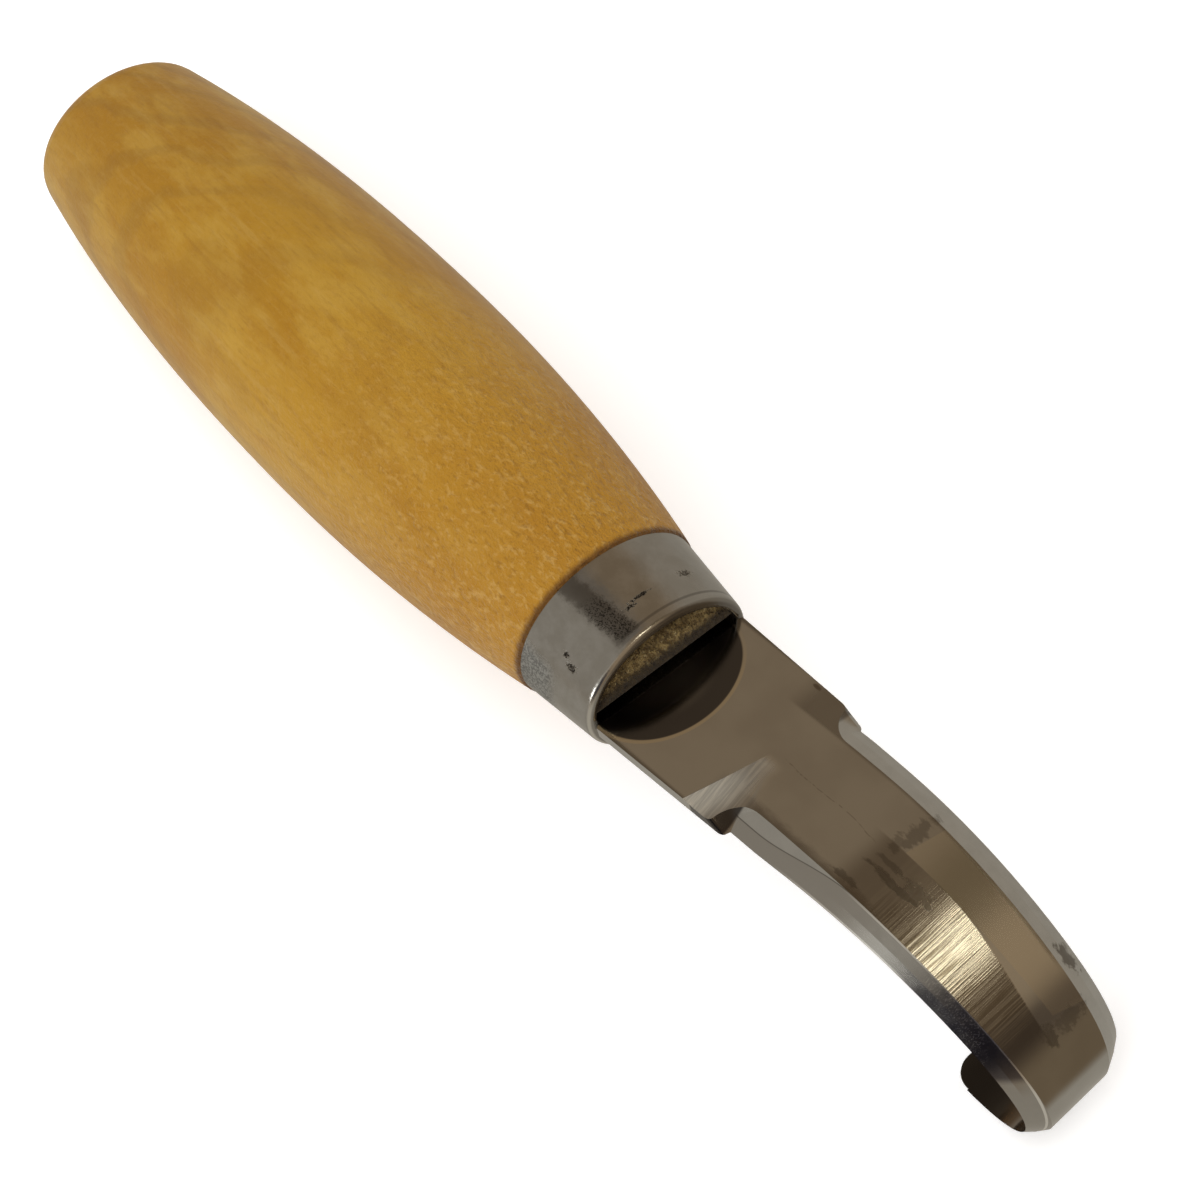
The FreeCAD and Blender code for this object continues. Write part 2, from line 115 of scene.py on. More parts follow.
class Paint(Graph):
    """One material, with Blender's principled shader and the patterns that feed it."""

    def __init__(self, name):
        self.material = bpy.data.materials.new(name)
        self.material.use_nodes = True
        super().__init__(self.material.node_tree)
        self.shader = self.tree.nodes["Principled BSDF"]

    def coordinates(self, axes):
        """Millimetres along a piece's own axes, from its place in the row frame."""
        made = self.node("ShaderNodeMapping", vector_type="TEXTURE")
        made.inputs["Location"].default_value = axes.to_translation()
        made.inputs["Rotation"].default_value = axes.to_euler("XYZ")
        made.inputs["Scale"].default_value = (MILLIMETRE,) * 3
        place = self.node("ShaderNodeTexCoord")
        self.tree.links.new(place.outputs["Object"], made.inputs["Vector"])
        return made.outputs[0]

    def parts(self, vector):
        made = self.node("ShaderNodeSeparateXYZ")
        self.feed(made.inputs[0], vector)
        return tuple(made.outputs)

    def facing(self, direction):
        """The normal's share along a fixed direction of the row frame."""
        return self.dot(self.node("ShaderNodeNewGeometry").outputs["Normal"], direction)

    def inwards(self, y, z):
        """1 on a hollow piece's inner walls, whose normals point back to the handle's own axis."""
        out_y = self.facing((HANDLE_AXES.to_3x3() @ Vector((0, 1, 0))).normalized())
        out_z = self.facing((HANDLE_AXES.to_3x3() @ Vector((0, 0, 1))).normalized())
        outward = self.math("ADD", self.times(out_y, y), self.times(out_z, z))
        return self.ramp(outward, 0.5, -0.5)

    def scaled(self, vector, scale, shift=(0, 0, 0)):
        made = self.node("ShaderNodeMapping", vector_type="POINT")
        self.feed(made.inputs["Vector"], vector)
        made.inputs["Location"].default_value = shift
        made.inputs["Scale"].default_value = scale
        return made.outputs[0]

    def noise(self, vector, scale, detail=2.0, rough=0.5, stretch=None, shift=(0, 0, 0)):
        if stretch or any(shift):
            vector = self.scaled(vector, stretch or (1, 1, 1), shift)
        made = self.node("ShaderNodeTexNoise")
        self.feed(made.inputs["Vector"], vector)
        made.inputs["Scale"].default_value = scale
        made.inputs["Detail"].default_value = detail
        made.inputs["Roughness"].default_value = rough
        return made.outputs["Fac"]

    def spot(self, vector, centre, size, ragged=None):
        """1 inside an ellipsoid about centre, fading to 0 at its edge; ragged adds unevenness."""
        shift = tuple(-c / s for c, s in zip(centre, size))
        made = self.scaled(vector, tuple(1 / s for s in size), shift)
        far = self.node("ShaderNodeVectorMath", operation="LENGTH")
        self.feed(far.inputs[0], made)
        distance = far.outputs["Value"]
        if ragged is not None:
            distance = self.math("ADD", distance, ragged)
        return self.ramp(distance, 0.55, 1.0, 1.0, 0.0)

    def bent(self, x, curve):
        """The height of a parabola at x, from its three factors."""
        square, slope, start = curve
        rise = self.math("MULTIPLY_ADD", x, square, slope)
        return self.math("MULTIPLY_ADD", x, rise, start)

    def leaning(self, direction, amount):
        """The surface's normal, leaning towards a direction by an amount that may vary."""
        push = self.node("ShaderNodeVectorMath", operation="SCALE")
        push.inputs[0].default_value = direction
        self.feed(push.inputs["Scale"], amount)
        total = self.node("ShaderNodeVectorMath", operation="ADD")
        self.feed(total.inputs[0], self.node("ShaderNodeNewGeometry").outputs["Normal"])
        self.feed(total.inputs[1], push.outputs[0])
        unit = self.node("ShaderNodeVectorMath", operation="NORMALIZE")
        self.feed(unit.inputs[0], total.outputs[0])
        return unit.outputs[0]

    def bump(self, height, strength, distance_mm, under=None):
        made = self.node("ShaderNodeBump")
        made.inputs["Strength"].default_value = strength
        made.inputs["Distance"].default_value = distance_mm * MILLIMETRE
        self.feed(made.inputs["Height"], height)
        if under is not None:
            self.feed(made.inputs["Normal"], under)
        return made.outputs[0]

    def set(self, **sockets):
        for name, value in sockets.items():
            label = name.replace("_", " ")
            socket = next(s for s in self.shader.inputs if s.name.lower() == label.lower())
            if isinstance(value, tuple):
                value = (*value, 1)
            self.feed(socket, value)


def axes_from(x_axis, z_axis, origin):
    """A frame with the given X and Z axes, as a matrix from its own metres to the row frame's."""
    x_axis, z_axis = x_axis.normalized(), z_axis.normalized()
    turn = Matrix((x_axis, z_axis.cross(x_axis), z_axis)).transposed()
    return Matrix.Translation(origin) @ turn.to_4x4()


def mount(name):
    found = next(m for m in frame["record"]["mounts"] if m["name"] == name)
    return Vector(found["pos_m"]), Vector(found["axis"]).normalized()


butt_at, butt_out = mount("butt_face")
root_at, root_up = mount("root_flat")
handle_x = -butt_out
handle_front = butt_at + handle_x * BUTT_TO_FERRULE_FRONT
HANDLE_AXES = axes_from(handle_x, root_up, handle_front)
# The blade is swung about the ferrule's middle: its own X axis runs from there to the root mount
root_foot = root_at - root_up * ROOT_MOUNT_IN_BLADE.z
BLADE_AXES = axes_from(root_foot - handle_front, root_up, handle_front)


def paint_wood():
    p = Paint("waxed_birch")
    at = p.coordinates(HANDLE_AXES)
    x, y, z = p.parts(at)
    wide = p.noise(at, 0.060, 3, 0.5, (0.45, 1.0, 1.0))
    cloud = p.noise(at, 0.20, 4, 0.6, (0.45, 1.0, 1.0), (7, 3, 1))
    curl = p.noise(at, 0.42, 3, 0.6, (0.55, 1.0, 1.0), (1, 8, 5))
    streak = p.noise(at, 0.9, 4, 0.65, (0.08, 1.0, 1.0))
    fine = p.noise(at, 3.4, 2, 0.6, (0.14, 1.0, 1.0))
    fleck = p.noise(at, 1.5, 3, 0.65, (0.62, 1.0, 1.0))
    pore = p.noise(at, 1.8, 3, 0.65, (0.60, 1.0, 1.0), (5, 5, 5))
    neck = p.ramp(x, -62.0, -14.0)
    butt_end = p.ramp(x, -60.0, -100.0)
    # Growth rings about a line below and beside the handle, so they show as long arches
    wander = p.noise(at, 0.06, 3, 0.55, (0.6, 1, 1), (2, 9, 4))
    dy = p.math("ADD", y, p.math("MULTIPLY", x, 0.07))
    dz = p.math("ADD", z, p.math("ADD", p.math("MULTIPLY", x, 0.16), 26.0))
    away = p.math("SQRT", p.math("ADD", p.times(dy, dy), p.times(dz, dz)))
    wave = p.math("ADD", p.math("MULTIPLY", away, 2.6), p.math("MULTIPLY", wander, 15.0))
    ring = p.math("SINE", wave)
    ring = p.ramp(ring, 0.35, 1.0)
    colour = p.mix(p.ramp(wide, 0.36, 0.64), (0.412, 0.230, 0.022), (0.336, 0.166, 0.010))
    colour = p.mix(p.times(p.ramp(cloud, 0.46, 0.64), 0.50), colour, (0.452, 0.278, 0.046))
    colour = p.mix(p.times(p.ramp(curl, 0.52, 0.70), 0.28), colour, (0.320, 0.140, 0.006))
    colour = p.mix(p.times(ring, p.blend(butt_end, 0.14, 0.30)), colour, (0.215, 0.110, 0.018))
    colour = p.mix(p.times(p.ramp(streak, 0.50, 0.72), 0.34), colour, (0.250, 0.118, 0.014))
    colour = p.mix(p.times(p.ramp(streak, 0.46, 0.30), 0.26), colour, (0.440, 0.285, 0.075))
    colour = p.mix(p.times(p.ramp(fine, 0.52, 0.74), 0.26), colour, (0.235, 0.115, 0.016))
    # Warmer towards the ferrule, and there a rougher, flecked surface
    colour = p.mix(p.times(neck, 0.60), colour, (0.365, 0.166, 0.012))
    light = p.times(p.ramp(fleck, 0.50, 0.68), p.blend(neck, 0.10, 0.58))
    colour = p.mix(light, colour, (0.500, 0.312, 0.090))
    dark = p.times(p.ramp(pore, 0.52, 0.70), p.blend(neck, 0.12, 0.42))
    colour = p.mix(dark, colour, (0.185, 0.078, 0.008))
    # Dark wax and dirt in the joint behind the ferrule
    joint = p.ramp(p.math("ADD", x, p.math("MULTIPLY", streak, 0.5)), -11.1, -10.3)
    colour = p.mix(p.times(joint, 0.85), colour, (0.085, 0.032, 0.006))
    # End grain: raw and flecked on the tenon's front inside the ferrule, waxed on the butt
    raw = p.ramp(x, -10.2, -10.0)
    grain_spots = p.noise(at, 1.7, 3, 0.65)
    spots = p.ramp(grain_spots, 0.38, 0.66)
    raw_colour = p.mix(spots, (0.150, 0.100, 0.038), (0.430, 0.310, 0.130))
    chips = p.noise(at, 3.0, 2, 0.6, None, (3, 1, 2))
    raw_colour = p.mix(p.times(p.ramp(chips, 0.60, 0.70), 0.75), raw_colour, (0.62, 0.50, 0.27))
    shaded = p.either(p.ramp(y, -6.0, -8.2), p.ramp(z, 2.9, 2.2))
    raw_colour = p.mix(p.times(shaded, 0.92), raw_colour, (0.030, 0.022, 0.016))
    butt = p.ramp(p.facing(butt_out), 0.8, 0.97)
    colour = p.mix(p.times(butt, 0.35), colour, (0.240, 0.125, 0.032))
    colour = p.mix(raw, colour, raw_colour)
    gloss = p.math("ADD", p.blend(neck, 0.42, 0.50), p.math("MULTIPLY", fleck, 0.12))
    gloss = p.blend(raw, gloss, 0.85)
    low = p.bump(streak, 0.14, 0.25)
    rough = p.times(p.math("SUBTRACT", fleck, pore), p.blend(neck, 0.12, 1.0))
    grit = p.bump(rough, 0.9, 0.42, low)
    end = p.bump(p.times(grain_spots, raw), 1.0, 0.9, grit)
    p.set(Base_Color=colour, Roughness=gloss, Normal=end)
    p.set(Coat_Weight=0.05, Coat_Roughness=0.34, Sheen_Weight=0.12, Sheen_Roughness=0.5)
    p.shader.inputs["Specular IOR Level"].default_value = 0.28
    return p.material


def paint_ferrule():
    p = Paint("plated_steel")
    at = p.coordinates(HANDLE_AXES)
    x, y, z = p.parts(at)
    silk = p.noise(at, 0.45, 4, 0.6)
    mottle = p.noise(at, 1.4, 4, 0.65)
    speck = p.noise(at, 3.8, 3, 0.65)
    grain = p.noise(at, 6.5, 2, 0.6)
    colour = p.mix(p.ramp(silk, 0.35, 0.7), (0.455, 0.440, 0.415), (0.525, 0.515, 0.500))
    colour = p.mix(p.times(p.ramp(mottle, 0.52, 0.72), 0.12), colour, (0.34, 0.32, 0.30))
    # One dull streak along the sleeve where the plating is thin, thickly pitted; its darkness is
    # partly a painted dark reflection
    wavy = p.math("MULTIPLY", p.math("SUBTRACT", mottle, 0.5), 1.6)
    lean = p.math("ADD", p.math("ADD", y, wavy), p.math("MULTIPLY", x, -0.114))
    streak = p.times(p.band(lean, -2.9, -1.5, 0.9), p.ramp(z, 0.0, 3.0), p.ramp(x, -0.8, -1.6))
    colour = p.mix(p.times(streak, 0.72), colour, (0.150, 0.136, 0.124))
    core = p.times(p.ramp(x, -8.0, -5.5), p.ramp(speck, 0.38, 0.52))
    pitted_streak = p.times(streak, p.ramp(grain, 0.46, 0.56), core)
    colour = p.mix(p.times(pitted_streak, 0.85), colour, (0.020, 0.018, 0.016))
    # Dull, crystalline zinc low on the left by the wood
    low_left = p.times(p.ramp(y, -8.9, -9.9), p.ramp(x, -4.6, -6.8), p.ramp(z, -3.0, 0.0))
    crystals = p.mix(p.ramp(speck, 0.42, 0.58), (0.24, 0.25, 0.26), (0.56, 0.575, 0.58))
    colour = p.mix(p.times(low_left, 0.8), colour, crystals)
    frayed = p.math("MULTIPLY", p.math("SUBTRACT", speck, 0.5), 3.4)
    pits = None
    for centre, size in PITS:
        pit = p.spot(at, centre, size, frayed)
        pits = pit if pits is None else p.either(pits, pit)
    pits = p.times(pits, p.ramp(grain, 0.36, 0.52, 0.35, 1.0))
    colour = p.mix(p.times(pits, 0.95), colour, PIT_BLACK)
    # The right side of the sleeve is painted darker as shade
    right = p.ramp(y, 1.0, 9.0)
    colour = p.mix(p.times(right, 0.45), colour, (0.345, 0.325, 0.300))
    # A thin line of painted shade where the rolled lip starts
    groove_shade = p.times(p.band(x, -1.42, -1.28, 0.16), p.ramp(y, -5.0, -1.0))
    colour = p.mix(p.times(groove_shade, 0.50), colour, (0.115, 0.105, 0.095))
    # The rolled lip is painted as a highlight, bright on the left and darker to the right, with
    # painted shade on its nose
    lip = p.band(x, -0.35, 0.5, 0.2)
    lip_highlight_tone = p.mix(p.ramp(y, 2.5, -2.5), (0.285, 0.265, 0.240), (0.80, 0.78, 0.73))
    colour = p.mix(p.times(lip, 0.8), colour, lip_highlight_tone)
    shaded_nose = p.ramp(p.facing(handle_x), 0.72, 0.92)
    colour = p.mix(p.times(shaded_nose, 0.65), colour, (0.170, 0.155, 0.140))
    # The inside walls are painted dark as shade in the hollow, and are duller and less metallic
    turned_back = p.ramp(p.facing(handle_x), 0.12, -0.02)
    inside = p.times(turned_back, p.inwards(y, z), p.ramp(x, -0.5, -0.9))
    colour = p.mix(inside, colour, (0.130, 0.105, 0.088))
    dull = p.either(p.times(streak, 0.35), p.either(pits, p.times(low_left, 0.7)))
    rough = p.blend(dull, p.ramp(silk, 0.3, 0.7, 0.17, 0.24), 0.55)
    rough = p.blend(inside, rough, 0.75)
    drawn = p.noise(at, 7.0, 2, 0.6, (0.05, 1, 1))
    low = p.bump(drawn, 0.05, 0.05)
    pitted = p.bump(p.math("SUBTRACT", 1.0, pits), 0.6, 0.10, low)
    orange = p.bump(silk, 0.08, 0.5, pitted)
    p.set(Base_Color=colour, Metallic=p.blend(inside, 1.0, 0.25), Roughness=rough, Normal=orange)
    return p.material


PITS = (
    ((-4.2, 6.7, 6.65), (0.45, 0.8, 0.8)),
    ((-3.9, 1.1, 8.6), (0.22, 1.5, 0.8)),
    ((-3.5, -0.4, 8.6), (0.30, 0.8, 0.8)),
    ((-4.0, -8.2, 5.5), (0.7, 0.40, 0.6)),
    ((-5.2, -7.7, 5.9), (0.35, 0.35, 0.5)),
)


def paint_blade():
    p = Paint("blade_steel")
    at = p.coordinates(BLADE_AXES)
    x, y, z = p.parts(at)
    blade_y = (BLADE_AXES.to_3x3() @ Vector((0, 1, 0))).normalized()
    side = p.facing(blade_y)
    up = p.facing(root_up)
    bevel = p.ramp(p.math("ABSOLUTE", side), 0.10, 0.16)
    face = p.times(p.math("SUBTRACT", 1.0, bevel), p.ramp(up, 0.0, 0.2), p.ramp(z, -15.0, -12.0))
    film = p.noise(at, 0.12, 3, 0.5, None, (1, 5, 2))
    cloud = p.noise(at, 0.6, 3, 0.6)
    lines = p.noise(at, 7.0, 1, 0.5, (1.0, 0.02, 1.0))
    coarse = p.noise(at, 1.6, 3, 0.6, (1.0, 0.10, 1.0), (4, 0, 0))
    smear = p.noise(at, 1.7, 3, 0.6, (0.45, 1.0, 1.0))
    smear = p.math("MULTIPLY", p.math("SUBTRACT", smear, 0.5), 2.3)
    ragged = p.math("MULTIPLY", p.math("SUBTRACT", coarse, 0.5), 5.0)
    started = p.math("ADD", x, ragged)
    from_left = p.math("SUBTRACT", y, p.bent(x, RIDGE_LEFT))
    from_right = p.math("SUBTRACT", p.bent(x, RIDGE_RIGHT), y)
    flat = p.mix(p.ramp(film, 0.35, 0.65), (0.515, 0.500, 0.475), (0.575, 0.565, 0.540))
    ground = p.mix(p.ramp(cloud, 0.3, 0.7), (0.565, 0.560, 0.545), (0.610, 0.605, 0.590))
    colour = p.mix(bevel, flat, ground)
    # The left bevel was ground twice: a thin line parts a paler band from the one by the edge
    bevel_width = p.math("SUBTRACT", p.bent(x, RIDGE_LEFT), p.bent(x, EDGE_LEFT))
    share = p.math("DIVIDE", from_left, bevel_width)
    lower = p.math("ADD", share, p.ramp(x, 20.0, 32.5, 0.50, -0.02))
    left_bevel = p.times(bevel, p.ramp(side, -0.1, -0.2), p.ramp(x, 16.8, 17.4))
    paler = p.times(left_bevel, p.ramp(lower, 0.02, -0.02), p.ramp(x, 40.0, 30.0))
    colour = p.mix(paler, colour, (0.485, 0.465, 0.440))
    seam = p.times(left_bevel, p.band(lower, -0.006, 0.006, 0.022), 0.75)
    colour = p.mix(seam, colour, (0.12, 0.105, 0.09))
    # A painted highlight in a thin band along the left edge
    edge_highlight = p.times(left_bevel, p.ramp(share, -0.90, -0.95))
    edge_highlight = p.times(edge_highlight, p.ramp(x, 22.0, 30.0), p.ramp(x, 42.0, 38.0))
    colour = p.mix(p.times(edge_highlight, 0.9), colour, (1.0, 1.0, 0.99))
    # A painted highlight along the left ridge; near the bend bright scores share its white
    ridge_highlight = p.times(left_bevel, p.band(share, -0.06, 0.02, 0.03), p.ramp(x, 30.0, 36.0))
    scores = p.times(left_bevel, p.band(started, 43.0, 47.0, 2.5), p.ramp(lines, 0.54, 0.62), 0.55)
    # Towards the hook the left bevel is painted dark and bluish as a dark reflection, and past the
    # bend it is duller
    bevel_dark_reflection = p.times(left_bevel, p.ramp(started, 42.3, 43.3), p.ramp(z, -11.8, -10.8))
    colour = p.mix(p.times(bevel_dark_reflection, p.ramp(x, 43.5, 48.5, 0.15, 0.80)), colour, (0.100, 0.088, 0.110))
    duller = p.times(left_bevel, p.ramp(z, -10.8, -12.6), p.ramp(z, -24.0, -21.0))
    colour = p.mix(p.times(duller, 0.50), colour, (0.36, 0.33, 0.29))
    colour = p.mix(p.either(p.times(ridge_highlight, 0.85), scores), colour, (1.0, 0.99, 0.96))
    # Dark scale left by the wheel on the walls of both plunges
    steep = p.ramp(p.math("ABSOLUTE", up), 0.962, 0.94)
    plunge = p.times(steep, p.band(x, 13.2, 17.2, 0.3), p.ramp(p.math("ABSOLUTE", y), 5.0, 5.6))
    colour = p.mix(p.times(plunge, p.ramp(y, -1.0, 1.0, 0.92, 0.55)), colour, (0.060, 0.052, 0.050))
    # The cross-brushed left half of the bend, with ragged ends
    strip_left = p.ramp(x, 38.0, 52.0, 1.15, -0.7)
    left_half = p.ramp(p.math("SUBTRACT", y, strip_left), 0.12, -0.12)
    brushed = p.times(p.band(started, 36.0, 46.5, 4.0), left_half, face)
    by_ridge = p.either(p.ramp(from_left, 4.2, 1.0, 0.12, 1.0), p.ramp(x, 43.0, 45.5))
    cut = p.times(p.ramp(lines, 0.48, 0.58), by_ridge)
    brush_tone = p.mix(cut, (0.74, 0.72, 0.66), (0.34, 0.305, 0.245))
    colour = p.mix(brushed, colour, brush_tone)
    # Darker bands above and below the highlight are painted as dim reflections
    dim_reflection_bands = p.either(p.band(x, 31.0, 36.5, 3.0), p.band(x, 46.0, 50.0, 2.5))
    colour = p.mix(p.times(dim_reflection_bands, left_half, face, 0.66), colour, (0.20, 0.168, 0.136))
    # The satin strip beside it
    strip_ends = p.band(p.math("SUBTRACT", x, p.math("MULTIPLY", y, 0.22)), 32.05, 50.1, 0.15)
    strip_edge = p.either(strip_left, p.ramp(x, 40.0, 31.0, 1.0, 1.1))
    strip = p.times(strip_ends, p.ramp(p.math("SUBTRACT", y, strip_edge), -0.08, 0.08), face)
    colour = p.mix(p.times(strip, 0.75), colour, (0.66, 0.62, 0.54))
    # Brown oil left along the inside of both ridges, and dark smears
    straight = p.band(x, 15.5, 33.0, 3.0)
    oil = p.either(
        p.times(p.ramp(p.math("MULTIPLY_ADD", smear, 0.35, from_left), 1.2, 0.0), straight, 0.62),
        p.times(p.ramp(from_right, 0.45, 0.0), p.band(x, 14.0, 46.0, 3.0), 0.50),
    )
    root_edge = p.times(p.ramp(p.math("ABSOLUTE", y), 8.80, 9.25), p.ramp(x, 13.5, 12.5))
    oil = p.either(oil, p.times(root_edge, 0.65))
    colour = p.mix(p.times(oil, face), colour, BROWN_OIL_AND_SHADE)
    smudge = None
    for centre, size, weight in SMEARS:
        spot = p.times(p.spot(at, centre, size, smear), weight)
        smudge = spot if smudge is None else p.either(smudge, spot)
    # The blade is thin, so the smears are kept off its underside
    smudge = p.times(smudge, p.ramp(up, 0.05, 0.2))
    colour = p.mix(smudge, colour, (0.10, 0.08, 0.06))
    # A painted reflection of the ferrule's dark opening on the root in front of the ferrule, as a
    # half-round, with a thin pale rim painted as the lip's highlight
    reach = p.math("MULTIPLY", x, 1 / REFLECTION_REACH)
    spread = p.math("MULTIPLY", p.math("ADD", y, REFLECTION_SHIFT), 1 / REFLECTION_SPREAD)
    square = p.math("ADD", p.times(reach, reach), p.times(spread, spread))
    round_off = p.math("SQRT", square)
    top_side = p.ramp(up, 0.5, 0.8)
    ferrule_reflection = p.times(p.ramp(round_off, 0.985, 0.955), top_side)
    ferrule_reflection = p.times(ferrule_reflection, p.ramp(round_off, 0.20, 0.74, 0.15, 0.96))
    colour = p.mix(p.times(ferrule_reflection, 0.93), colour, (0.060, 0.054, 0.056))
    reflection_rim = p.times(p.band(round_off, 0.975, 1.005, 0.02), top_side)
    reflection_rim = p.times(reflection_rim, p.ramp(y, 9.0, 3.0, 0.1, 0.6))
    colour = p.mix(reflection_rim, colour, (0.78, 0.68, 0.50))
    # The facet that the grinding wheel left where the left plunge runs into the flat
    behind = p.math("SUBTRACT", x, p.math("MULTIPLY_ADD", y, 0.30, 14.9))
    fades = p.ramp(behind, 0.6, p.ramp(y, -1.0, -7.0, 3.0, 6.5), 1.0, 0.0)
    facet = p.times(p.ramp(behind, -0.05, 0.08), fades, p.ramp(y, 0.2, -1.2), face)
    slanted = p.node("ShaderNodeVectorRotate", rotation_type="Z_AXIS")
    p.feed(slanted.inputs["Vector"], at)
    slanted.inputs["Angle"].default_value = FACET_LINES
    wheel = p.noise(slanted.outputs[0], 2.6, 3, 0.6, (1.0, 0.04, 1.0))
    bright = p.times(p.ramp(wheel, 0.36, 0.62), p.ramp(y, -1.0, -7.0, 0.45, 1.0))
    facet_tone = p.mix(bright, (0.70, 0.69, 0.66), (1.0, 0.98, 0.93))
    colour = p.mix(facet, colour, facet_tone)
    # A nick's shadow by the right edge of the root and a faint scratch along the middle
    nick = p.spot(at, (12.75, 8.5, 0.75), (0.75, 0.28, 0.6), p.math("MULTIPLY", smear, 0.5))
    wobble = p.math("MULTIPLY", p.math("SUBTRACT", film, 0.5), 2.5)
    scratch_y = p.math("ADD", p.math("MULTIPLY_ADD", x, -0.083, 2.16), wobble)
    scratch = p.band(p.math("SUBTRACT", y, scratch_y), -0.03, 0.03, 0.06)
    scratch = p.times(scratch, p.band(x, 17.5, 28.5, 1.5))
    scratch = p.times(scratch, p.ramp(coarse, 0.40, 0.56), face)
    colour = p.mix(p.either(p.times(nick, 0.7), p.times(scratch, 0.36)), colour, BROWN_OIL_AND_SHADE)
    # The hollow of the tip is painted dark, darkest low down, as a dark reflection
    tip_dark_reflection = p.times(p.ramp(z, -17.5, -20.0), p.ramp(up, -0.1, 0.2), p.math("SUBTRACT", 1.0, bevel))
    tip_reflection_tone = p.mix(p.ramp(z, -25.0, -22.5), (0.060, 0.048, 0.040), (0.32, 0.275, 0.235))
    colour = p.mix(tip_dark_reflection, colour, tip_reflection_tone)
    p.set(Base_Color=colour, Metallic=1.0)
    rough = p.blend(bevel, p.ramp(film, 0.3, 0.7, 0.10, 0.15), p.ramp(cloud, 0.3, 0.7, 0.16, 0.24))
    rough = p.blend(brushed, rough, 0.23)
    rough = p.blend(strip, rough, 0.22)
    rough = p.blend(facet, rough, p.ramp(wheel, 0.36, 0.62, 0.30, 0.46))
    rough = p.blend(p.either(smudge, p.times(oil, face)), rough, 0.45)
    # The brushed half is ground a little hollow and the facet slants, so both lean to the left
    hollow = p.times(left_half, p.band(x, 35.0, 47.0, 4.0), face, HOLLOW_SLOPE)
    slant = p.times(facet, p.ramp(y, -0.5, -7.0, 0.12, 0.44))
    leaning = p.leaning(-blade_y, p.math("ADD", hollow, slant))
    combed = p.times(lines, p.either(brushed, p.times(bevel, 0.12)))
    scored = p.bump(combed, 0.18, 0.10, leaning)
    wheeled = p.bump(p.times(wheel, facet), 0.20, 0.10, scored)
    ripple = p.bump(film, 0.03, 1.0, wheeled)
    p.set(Roughness=rough, Normal=ripple)
    return p.material


# Parabolas in the blade's own millimetres, for the ridges and the left edge: how far each runs
# from the middle line
RIDGE_LEFT = (0.00159, -0.0962, -4.115)
RIDGE_RIGHT = (-0.00135, 0.0456, 5.517)
EDGE_LEFT = (0.000665, 0.0005, -8.56)
# How far the painted reflection of the ferrule's opening reaches forward and to each side, and how
# far it sits to the left
REFLECTION_REACH, REFLECTION_SPREAD, REFLECTION_SHIFT = 7.3, 8.9, 0.45
HOLLOW_SLOPE = 0.14
FACET_LINES = math.radians(-8)
# Each smear: its centre and half sizes in millimetres, and how strongly it darkens the steel
SMEARS = (
    ((31.6, 3.5, 0.1), (1.0, 2.6, 3.0), 0.42),
    ((31.0, 1.2, 0.1), (0.9, 1.2, 3.0), 0.36),
    ((51.0, -0.3, -10.4), (1.3, 1.1, 1.8), 0.46),
    ((51.1, 2.3, -10.6), (0.9, 2.6, 1.8), 0.30),
    ((33.4, -2.0, -0.6), (3.8, 0.55, 3.0), 0.52),
    ((32.2, -0.7, -0.5), (2.8, 0.40, 3.0), 0.42),
    ((35.6, -1.0, -1.4), (2.4, 0.9, 3.0), 0.36),
    ((29.8, -4.7, -0.3), (2.0, 0.5, 3.0), 0.50),
    ((47.6, 5.9, -8.0), (1.8, 0.8, 2.2), 0.66),
)


def paint_resin():
    p = Paint("cured_resin")
    at = p.coordinates(HANDLE_AXES)
    bubbles = p.noise(at, 1.2, 3, 0.6)
    colour = p.mix(p.ramp(bubbles, 0.4, 0.65), (0.10, 0.06, 0.025), (0.19, 0.12, 0.05))
    p.set(Base_Color=colour, Roughness=0.42, Normal=p.bump(bubbles, 0.4, 0.4))
    return p.material


def add_camera():
    data = bpy.data.cameras.new("camera")
    data.lens = CAMERA_LENS
    data.sensor_width = SENSOR_WIDTH
    data.clip_start = 0.01
    data.clip_end = 10.0
    camera = bpy.data.objects.new("camera", data)
    camera.matrix_world = axes_from(CAMERA_LOOK.cross(CAMERA_UP), -CAMERA_LOOK, CAMERA_AT)
    bpy.context.scene.collection.objects.link(camera)
    bpy.context.scene.camera = camera


def add_floor():
    mesh = bpy.data.meshes.new("floor")
    half = FLOOR_HALF
    corners = [(-half, -half, 0), (half, -half, 0), (half, half, 0), (-half, half, 0)]
    mesh.from_pydata(corners, [], [(0, 1, 2, 3)])
    floor = bpy.data.objects.new("floor", mesh)
    bpy.context.scene.collection.objects.link(floor)
    p = Paint("floor_paper")
    # A backlit table, so that shadows on it stay pale
    p.set(Base_Color=(0.90, 0.91, 0.93), Roughness=0.9)
    p.set(Emission_Color=(0.95, 0.97, 1.0), Emission_Strength=FLOOR_GLOW)
    mesh.materials.append(p.material)
    # The steel mirrors the studio's darker lower half instead of this bright paper
    floor.visible_glossy = False


def add_light(name, direction, away, size, power, colour=(1, 1, 1)):
    """A soft square lamp facing the knife, away metres from it. Steel doesn't mirror it."""
    data = bpy.data.lights.new(name, "AREA")
    data.size = size
    data.energy = power
    data.color = colour
    lamp = bpy.data.objects.new(name, data)
    lamp.visible_glossy = False
    out = Vector(direction).normalized()
    lamp.location = LAMP_AIM + out * away
    lamp.rotation_mode = "QUATERNION"
    lamp.rotation_quaternion = out.to_track_quat("Z", "Y")
    bpy.context.scene.collection.objects.link(lamp)


def room_side(g, way, colour, side):
    direction, inner, outer, tone = side
    near = g.dot(way, Vector(direction).normalized())
    share = g.ramp(near, math.cos(math.radians(outer)), math.cos(math.radians(inner)))
    return g.mix(share, colour, tone)


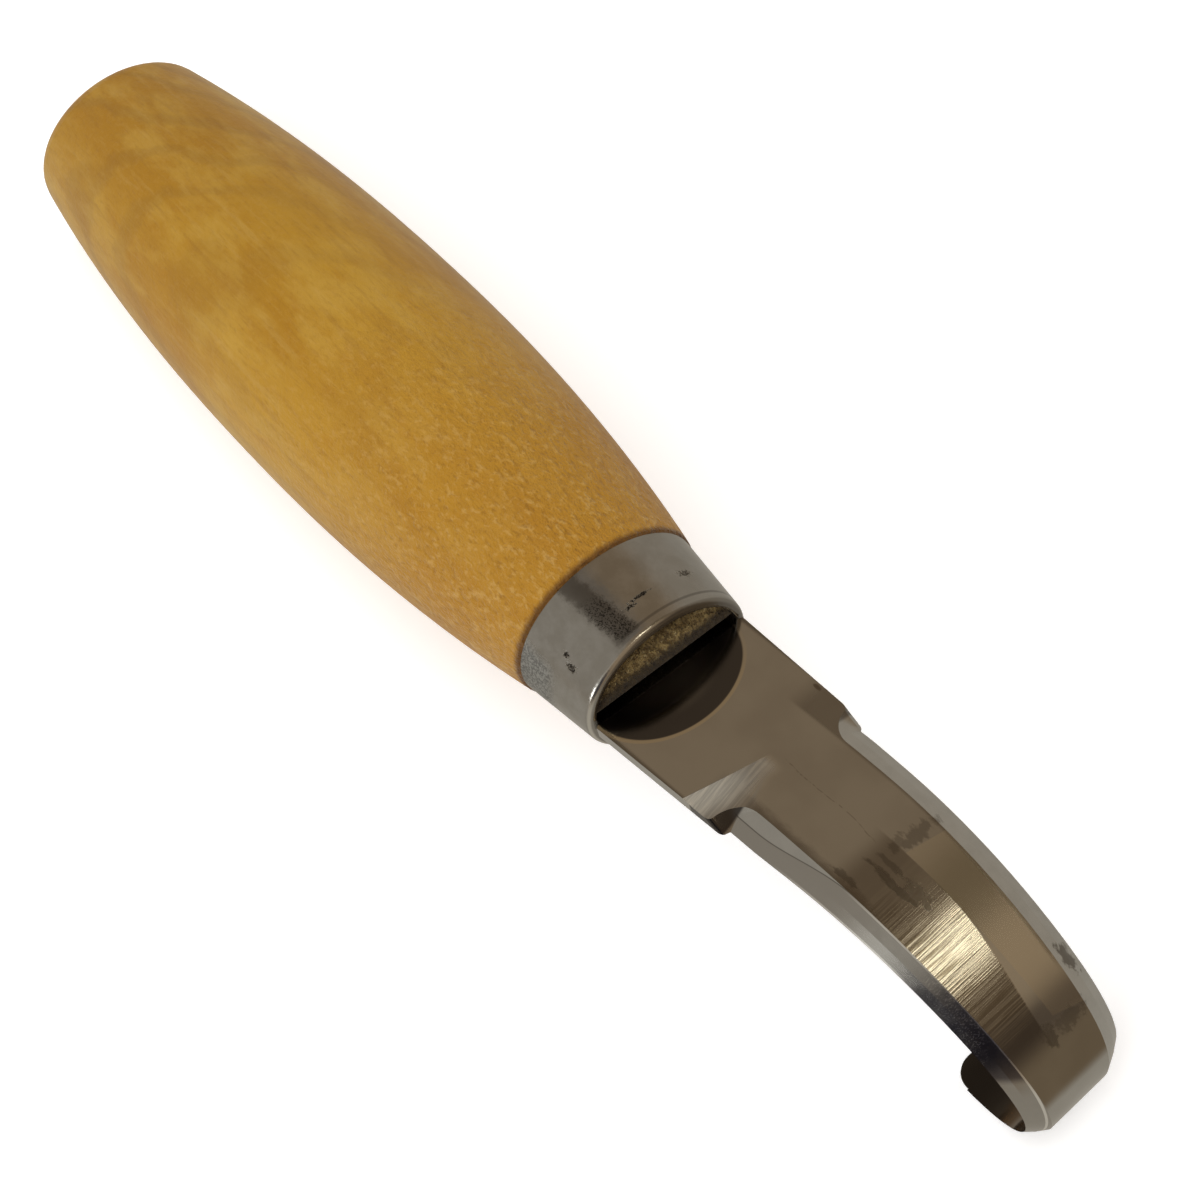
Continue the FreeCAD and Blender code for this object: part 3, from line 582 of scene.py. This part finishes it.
def add_world():
    """The studio that the steel mirrors: a dim warm room with paler and darker sides."""
    world = bpy.data.worlds.new("studio")
    world.use_nodes = True
    g = Graph(world.node_tree)
    way = g.node("ShaderNodeTexCoord").outputs["Generated"]
    colour = ROOM_COLOUR
    for side in ROOM_SIDES:
        colour = room_side(g, way, colour, side)
    below = g.ramp(g.dot(way, (0, 0, 1)), 0.04, -0.30)
    colour = g.mix(below, colour, ROOM_BELOW)
    colour = room_side(g, way, colour, ROOM_FRONT)
    g.feed(world.node_tree.nodes["Background"].inputs["Color"], colour)
    bpy.context.scene.world = world


ROOM_COLOUR = (0.26, 0.198, 0.132)
ROOM_BELOW = (0.405, 0.375, 0.320)
# Each side: its direction, the angles in degrees where it is full and where it ends, its colour
ROOM_SIDES = (
    ((-0.25, -0.80, 0.52), 28, 50, (0.37, 0.34, 0.29)),
    ((-0.10, 1.00, 0.10), 26, 50, (0.38, 0.34, 0.28)),
    ((0.90, 0.37, 0.24), 14, 40, (0.105, 0.078, 0.055)),
    ((0.54, -0.80, 0.27), 12, 26, (0.035, 0.033, 0.040)),
    ((0.54, 0.34, 0.78), 7, 18, (0.36, 0.275, 0.180)),
    ((0.12, 0.32, 0.94), 5, 15, (0.150, 0.112, 0.065)),
    ((-0.50, -0.12, 0.86), 8, 17, (0.190, 0.168, 0.142)),
    ((0.10, -0.86, 0.50), 5, 10, (0.62, 0.60, 0.54)),
    ((0.03, -0.98, 0.18), 5, 10, (5.0, 5.0, 4.8)),
    ((0.36, 0.05, 0.93), 1.5, 5.0, (5.7, 5.2, 3.9)),
)
# Low in front, the room is seen across the dark table's far edge
ROOM_FRONT = ((0.92, 0.37, -0.12), 16, 34, (0.20, 0.150, 0.095))

LOOKS = {
    "handle": paint_wood,
    "ferrule": paint_ferrule,
    "blade": paint_blade,
    "tang_adhesive": paint_resin,
}
for node, paint in LOOKS.items():
    material = paint()
    for place in frame["nodes"][node].material_slots:
        place.material = material

add_camera()
add_floor()
add_world()
add_light("key", (0.05, -0.25, 0.97), 0.9, 0.80, 5.2)
add_light("left", (0.25, -0.80, 0.55), 0.9, 0.60, 2.7)
add_light("right", (-0.15, 0.75, 0.65), 0.9, 0.60, 1.9)
bpy.context.scene.view_settings.view_transform = "Standard"
